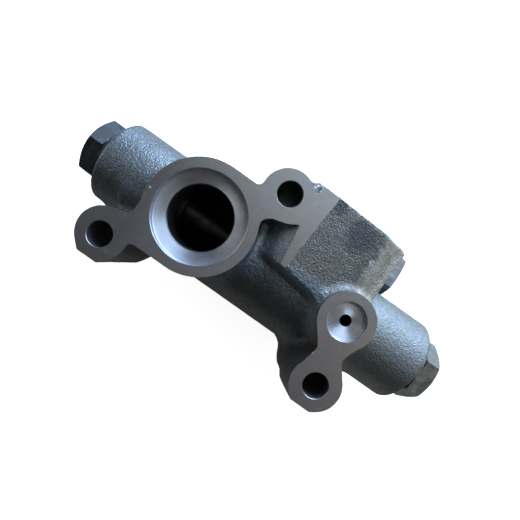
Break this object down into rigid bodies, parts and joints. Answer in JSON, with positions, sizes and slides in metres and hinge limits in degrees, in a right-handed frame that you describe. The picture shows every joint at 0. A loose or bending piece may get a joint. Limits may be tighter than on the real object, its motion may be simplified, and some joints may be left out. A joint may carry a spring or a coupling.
{
  "type": "oil pressure regulator valve",
  "caption": "Cast oil pressure regulator valve with a recessed main port, a pilot port, bolt ears, hexagon plugs, a sprung control spool and a relief piston.",
  "frame": {"origin": "centre of the main port on the machined mounting face", "axes": "+X along the long bore towards the pilot port's plug, +Y towards the relief block, +Z out of the mounting face"},
  "size_m": [0.191, 0.0884, 0.065],
  "materials": {
    "cast_iron": "cast, with machined faces",
    "plug_steel": "dark phosphate",
    "seal_ring": "annealed copper, dulled",
    "ground_steel": "ground",
    "spring_steel": "oiled",
    "turned_steel": "turned"
  },
  "bodies": {
    "housing": {"valve_body": "cast_iron", "spring_plug": "plug_steel", "pilot_plug": "plug_steel", "relief_plug": "plug_steel", "spring_plug_seal": "seal_ring", "pilot_plug_seal": "seal_ring", "relief_plug_seal": "seal_ring", "spool_stop_pin": "ground_steel", "relief_seat": "ground_steel", "control_spring": "spring_steel", "relief_spring": "spring_steel", "control_shims": "turned_steel", "relief_guide": "turned_steel", "relief_shim": "turned_steel", "passage_plug": "turned_steel"},
    "spool": {"control_spool": "ground_steel"},
    "piston": {"relief_piston": "ground_steel"}
  },
  "joints": [
    {"name": "control_slide", "type": "slide", "parent": "housing", "child": "spool", "axis": [-1, 0, 0], "range_m": [0, 0.0067], "stiffness_N_per_m": 21800, "springref_m": -0.002, "deforming": ["control_spring"]},
    {"name": "relief_slide", "type": "slide", "parent": "housing", "child": "piston", "axis": [1, 0, 0], "range_m": [0, 0.0042], "stiffness_N_per_m": 5800, "springref_m": -0.005, "deforming": ["relief_spring"]}
  ]
}
